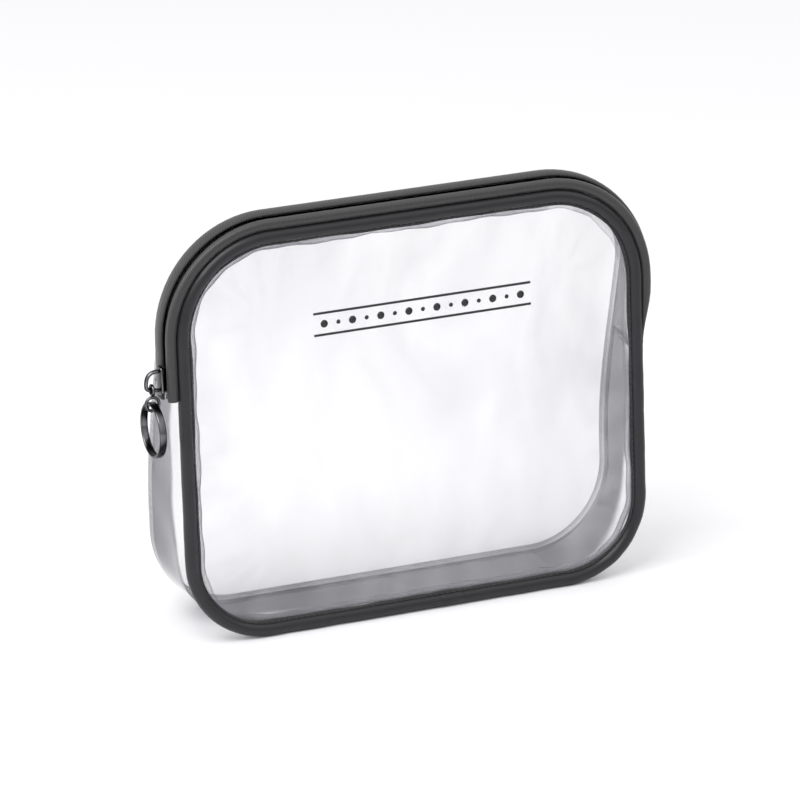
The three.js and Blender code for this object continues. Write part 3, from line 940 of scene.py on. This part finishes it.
# Print: a plain ornament of two fine rules with a row of dots between them.
# It is screen-printed in black ink on the outside of the front panel.
def print_ink():
    material, nodes, links, shader = new_material("print_ink")
    shader.inputs["Base Color"].default_value = (0.012, 0.010, 0.011, 1)
    worn_gloss(nodes, links, shader, scale=260, smoothest=0.30, roughest=0.55)
    return material


ink = print_ink()
print_mesh = bmesh.new()
print_middle = seam_middle + 0.004
print_height = 0.129
print_half = 0.048
bar_step = 0.003
bar_width = 0.0010
bar_offset = 0.0045
dot_pitch = 0.0062
ink_above_sheet = 0.0006


def stand_up(made, x, z):
    """Turns a flat shape upright to face forward, and moves it to its place on the panel."""
    bmesh.ops.rotate(print_mesh, verts=made, matrix=Matrix.Rotation(math.pi / 2, 3, "X"))
    bmesh.ops.translate(print_mesh, verts=made, vec=(x, 0, z))


for offset in (bar_offset, -bar_offset):
    bar = bmesh.ops.create_grid(print_mesh, x_segments=int(2 * print_half / bar_step), y_segments=1, size=0.5)
    bmesh.ops.scale(print_mesh, verts=bar["verts"], vec=(2 * print_half, bar_width, 1))
    stand_up(bar["verts"], print_middle, print_height + offset)
for i in range(-7, 8):
    dot_radius = 0.0016 if i % 2 else 0.0009
    dot = bmesh.ops.create_circle(print_mesh, cap_ends=True, segments=20, radius=dot_radius)
    stand_up(dot["verts"], print_middle + i * dot_pitch, print_height)
half_rise = (seam_top - seam_base) / 2
for vert in print_mesh.verts:
    level = max(abs(vert.co.x - seam_middle) / seam_half, abs(vert.co.z - seam_centre_z) / half_rise)
    vert.co.y = front_y(vert.co.z) - swell_at(1 - level, front_swell) - ink_above_sheet
printed = finished(print_mesh, "front_print", ink, "front_flap")
depth_of_ink = printed.modifiers.new("ink", "SOLIDIFY")
depth_of_ink.thickness = 0.00005


# Table and light: a plain white table top, with a large soft key light above and to the left.
# A narrow light at the side, a weak fill at the right and even white surroundings do the rest.
def white_table():
    material, _, _, shader = new_material("white_table")
    shader.inputs["Base Color"].default_value = (0.86, 0.855, 0.875, 1)
    shader.inputs["Roughness"].default_value = 0.55
    return material


floor_mesh = bmesh.new()
bmesh.ops.create_grid(floor_mesh, x_segments=1, y_segments=1, size=6)
floor = finished(floor_mesh, "floor", white_table())


def way_back(azimuth, elevation):
    """The direction from the pouch to a light or a camera, with azimuth 0 straight in front."""
    a, e = math.radians(azimuth), math.radians(elevation)
    return Vector((math.sin(a) * math.cos(e), -math.cos(a) * math.cos(e), math.sin(e)))


def soft_light(name, azimuth, elevation, distance, size, power):
    data = bpy.data.lights.new(name, "AREA")
    data.shape = "RECTANGLE"
    data.size, data.size_y = size
    data.energy = power
    lamp = bpy.data.objects.new(name, data)
    bpy.context.scene.collection.objects.link(lamp)
    back = way_back(azimuth, elevation)
    lamp.location = Vector((0, 0, lights_aim_at)) + back * distance
    lamp.rotation_mode = "QUATERNION"
    lamp.rotation_quaternion = back.to_track_quat("Z", "Y")


lights_aim_at = 0.08
soft_light("key", azimuth=-60, elevation=55, distance=1.2, size=(0.8, 0.8), power=9)
soft_light("side", azimuth=-100, elevation=12, distance=0.9, size=(0.12, 0.9), power=1.5)
soft_light("fill", azimuth=70, elevation=45, distance=1.4, size=(1.0, 1.0), power=2)
world = bpy.data.worlds.new("surroundings")
bpy.context.scene.world = world
world.use_nodes = True
world_nodes, world_links = world.node_tree.nodes, world.node_tree.links
way = world_nodes.new("ShaderNodeTexCoord")
up = world_nodes.new("ShaderNodeSeparateXYZ")
world_links.new(way.outputs["Generated"], up.inputs["Vector"])
sky = world_nodes.new("ShaderNodeMapRange")
sky.inputs["From Min"].default_value = 0.05
sky.inputs["From Max"].default_value = 0.75
sky.inputs["To Min"].default_value = 0.45
sky.inputs["To Max"].default_value = 1.05
world_links.new(up.outputs["Z"], sky.inputs["Value"])
world_links.new(sky.outputs["Result"], world_nodes["Background"].inputs["Strength"])
world_nodes["Background"].inputs["Color"].default_value = (1, 1, 1, 1)
bpy.context.scene.view_settings.view_transform = "Standard"

# Camera: a long lens, a little above the pouch and to its left.
# It looks at the middle of the front panel.
camera_data = bpy.data.cameras.new("camera")
camera_data.lens = 277.4
camera_data.sensor_width = 36
camera = bpy.data.objects.new("camera", camera_data)
bpy.context.scene.collection.objects.link(camera)
camera_distance = 2.53
camera_aims_at = Vector((0.0033, 0, 0.0853))
camera_back = way_back(azimuth=-23.1, elevation=21.4)
camera.location = camera_aims_at + camera_back * camera_distance
camera.rotation_mode = "QUATERNION"
camera.rotation_quaternion = camera_back.to_track_quat("Z", "Y")
bpy.context.scene.camera = camera
